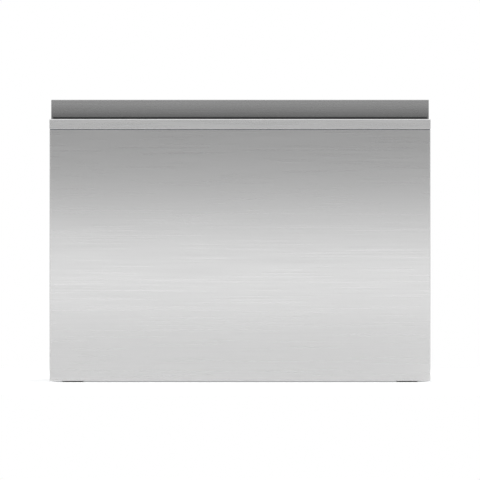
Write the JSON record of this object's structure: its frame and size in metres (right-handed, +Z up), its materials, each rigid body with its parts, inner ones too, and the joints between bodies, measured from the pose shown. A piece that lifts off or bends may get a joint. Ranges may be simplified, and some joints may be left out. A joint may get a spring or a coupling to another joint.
{
  "type": "dishwasher drawer",
  "caption": "Built-in dishwasher drawer with a brushed steel front, a recessed finger channel behind a folded lip, and a tub on telescopic runners that slides out of its steel cabinet.",
  "frame": {"origin": "centre of the machine's footprint, on the floor", "axes": "+X to the right seen from the front, the front panel faces -Y, +Z up"},
  "size_m": [0.596, 0.573, 0.4421],
  "materials": {
    "brushed_steel": "brushed",
    "steel_sheet": "plain galvanised",
    "runner_steel": "zinc plated",
    "screw_steel": "zinc plated",
    "tub_plastic": "smooth moulded",
    "lid_plastic": "moulded",
    "dark_plastic": "moulded",
    "button_plastic": "moulded",
    "lens": "clear tinted",
    "board": "solder mask",
    "white_plastic": "moulded",
    "grey_plastic": "moulded",
    "blue_plastic": "moulded",
    "wire_coating": "nylon coated wire",
    "seal_rubber": "moulded",
    "pad": "bitumen sheet",
    "foot_plastic": "moulded",
    "motor": "painted",
    "element": "drawn tube",
    "filter_steel": "perforated"
  },
  "bodies": {
    "cabinet": {"chassis_left_side": "steel_sheet", "chassis_right_side": "steel_sheet", "chassis_back_panel": "steel_sheet", "chassis_top_panel": "steel_sheet", "side_trims": "dark_plastic", "base_pan": "steel_sheet", "service_bracket": "steel_sheet", "water_inlet_valve": "white_plastic", "drain_outlet_spigot": "dark_plastic", "cord_gland": "dark_plastic", "power_module": "white_plastic", "flood_switch": "dark_plastic", "lid_actuators": "white_plastic", "chassis_screws": "screw_steel", "runner_outer_members": "runner_steel"},
    "drawer": {"runner_inner_members": "runner_steel", "tub_brackets": "steel_sheet", "tub": "tub_plastic", "door_skin": "brushed_steel", "handle_profile": "brushed_steel", "handle_end_caps": "dark_plastic", "door_backing_frame": "dark_plastic", "acoustic_pad": "pad", "inner_door_panel": "steel_sheet", "door_screws": "screw_steel", "control_fascia": "dark_plastic", "display_lens": "lens", "control_board": "board", "motor_housing": "motor", "heater_element": "element", "filter_plate": "filter_steel", "rack_base": "wire_coating", "rack_walls": "wire_coating", "cutlery_basket": "grey_plastic", "detergent_dispenser": "grey_plastic", "fan_housing": "dark_plastic"},
    "runner_carriage": {"runner_middle_members": "runner_steel"},
    "lid": {"lid_panel": "lid_plastic", "lid_seal": "seal_rubber"},
    "left_pinion": {"lid_pinion_left": "white_plastic"},
    "right_pinion": {"lid_pinion_right": "white_plastic"},
    "foot_1": {"foot_front_left": "foot_plastic"},
    "foot_2": {"foot_front_right": "foot_plastic"},
    "foot_3": {"foot_rear_left": "foot_plastic"},
    "foot_4": {"foot_rear_right": "foot_plastic"},
    "float": {"flood_float": "white_plastic"},
    "power_key": {"power_button": "button_plastic"},
    "programme_key": {"programme_button": "button_plastic"},
    "option_key": {"option_button": "button_plastic"},
    "start_key": {"start_button": "button_plastic"},
    "rotor": {"rotor_impeller": "white_plastic"},
    "wash_arm": {"spray_arm": "grey_plastic"},
    "filter_cup": {"drain_filter": "grey_plastic"},
    "fan": {"fan_rotor": "white_plastic"},
    "front_tines": {"tine_row_front": "wire_coating"},
    "rear_tines": {"tine_row_rear": "wire_coating"},
    "left_cup_shelf": {"cup_rack_left": "wire_coating"},
    "right_cup_shelf": {"cup_rack_right": "wire_coating"},
    "dispenser_door": {"detergent_door": "grey_plastic"},
    "rinse_cap": {"rinse_aid_cap": "blue_plastic"}
  },
  "joints": [
    {"name": "drawer_slide", "type": "slide", "parent": "cabinet", "child": "drawer", "axis": [0, -1, 0], "range_m": [0, 0.48]},
    {"name": "runner_carriage_slide", "type": "slide", "parent": "cabinet", "child": "runner_carriage", "axis": [0, -1, 0], "range_m": [0, 0.24]},
    {"name": "lid_lift", "type": "slide", "parent": "cabinet", "child": "lid", "axis": [0, 0, 1], "range_m": [-0.012, 0]},
    {"name": "left_pinion_turn", "type": "hinge", "parent": "cabinet", "child": "left_pinion", "pos_m": [-0.2823, 0.021, 0.416], "axis": [0, 1, 0], "range_deg": [0, 115]},
    {"name": "right_pinion_turn", "type": "hinge", "parent": "cabinet", "child": "right_pinion", "pos_m": [0.2823, 0.021, 0.416], "axis": [0, 1, 0], "range_deg": [-115, 0]},
    {"name": "foot_1_height", "type": "slide", "parent": "cabinet", "child": "foot_1", "axis": [0, 0, 1], "range_m": [-0.015, 0]},
    {"name": "foot_2_height", "type": "slide", "parent": "cabinet", "child": "foot_2", "axis": [0, 0, 1], "range_m": [-0.015, 0]},
    {"name": "foot_3_height", "type": "slide", "parent": "cabinet", "child": "foot_3", "axis": [0, 0, 1], "range_m": [-0.015, 0]},
    {"name": "foot_4_height", "type": "slide", "parent": "cabinet", "child": "foot_4", "axis": [0, 0, 1], "range_m": [-0.015, 0]},
    {"name": "float_rise", "type": "slide", "parent": "cabinet", "child": "float", "axis": [0, 0, 1], "range_m": [0, 0.005]},
    {"name": "power_press", "type": "slide", "parent": "drawer", "child": "power_key", "axis": [0, 0, -1], "range_m": [0, 0.0012], "stiffness_N_per_m": 900},
    {"name": "programme_press", "type": "slide", "parent": "drawer", "child": "programme_key", "axis": [0, 0, -1], "range_m": [0, 0.0012], "stiffness_N_per_m": 900},
    {"name": "option_press", "type": "slide", "parent": "drawer", "child": "option_key", "axis": [0, 0, -1], "range_m": [0, 0.0012], "stiffness_N_per_m": 900},
    {"name": "start_press", "type": "slide", "parent": "drawer", "child": "start_key", "axis": [0, 0, -1], "range_m": [0, 0.0012], "stiffness_N_per_m": 900},
    {"name": "rotor_spin", "type": "hinge", "parent": "drawer", "child": "rotor", "pos_m": [0, 0.011, 0.08], "axis": [0, 0, 1], "continuous": true},
    {"name": "spray_arm_spin", "type": "hinge", "parent": "drawer", "child": "wash_arm", "pos_m": [0, 0.011, 0.12], "axis": [0, 0, 1], "continuous": true},
    {"name": "drain_filter_twist", "type": "hinge", "parent": "drawer", "child": "filter_cup", "pos_m": [0, 0.085, 0.1], "axis": [0, 0, 1], "range_deg": [0, 90]},
    {"name": "fan_spin", "type": "hinge", "parent": "drawer", "child": "fan", "pos_m": [-0.175, -0.25, 0.325], "axis": [0, 1, 0], "continuous": true},
    {"name": "front_tines_fold", "type": "hinge", "parent": "drawer", "child": "front_tines", "pos_m": [0, 0.031, 0.142], "axis": [1, 0, 0], "range_deg": [0, 80]},
    {"name": "rear_tines_fold", "type": "hinge", "parent": "drawer", "child": "rear_tines", "pos_m": [0, 0.131, 0.142], "axis": [1, 0, 0], "range_deg": [0, 80]},
    {"name": "left_cup_shelf_fold", "type": "hinge", "parent": "drawer", "child": "left_cup_shelf", "pos_m": [-0.241, 0.011, 0.2467], "axis": [0, -1, 0], "range_deg": [0, 95]},
    {"name": "right_cup_shelf_fold", "type": "hinge", "parent": "drawer", "child": "right_cup_shelf", "pos_m": [0.241, 0.011, 0.2467], "axis": [0, 1, 0], "range_deg": [0, 95]},
    {"name": "dispenser_door_slide", "type": "slide", "parent": "drawer", "child": "dispenser_door", "axis": [1, 0, 0], "range_m": [0, 0.064]},
    {"name": "rinse_cap_turn", "type": "hinge", "parent": "drawer", "child": "rinse_cap", "pos_m": [-0.066, -0.205, 0.295], "axis": [0, 1, 0], "range_deg": [0, 90]}
  ],
  "couplings": [
    {"joint": "runner_carriage_slide", "follows": "drawer_slide", "ratio": 0.5},
    {"joint": "left_pinion_turn", "follows": "lid_lift", "rad_per_m": -166.67},
    {"joint": "right_pinion_turn", "follows": "lid_lift", "rad_per_m": 166.67}
  ]
}
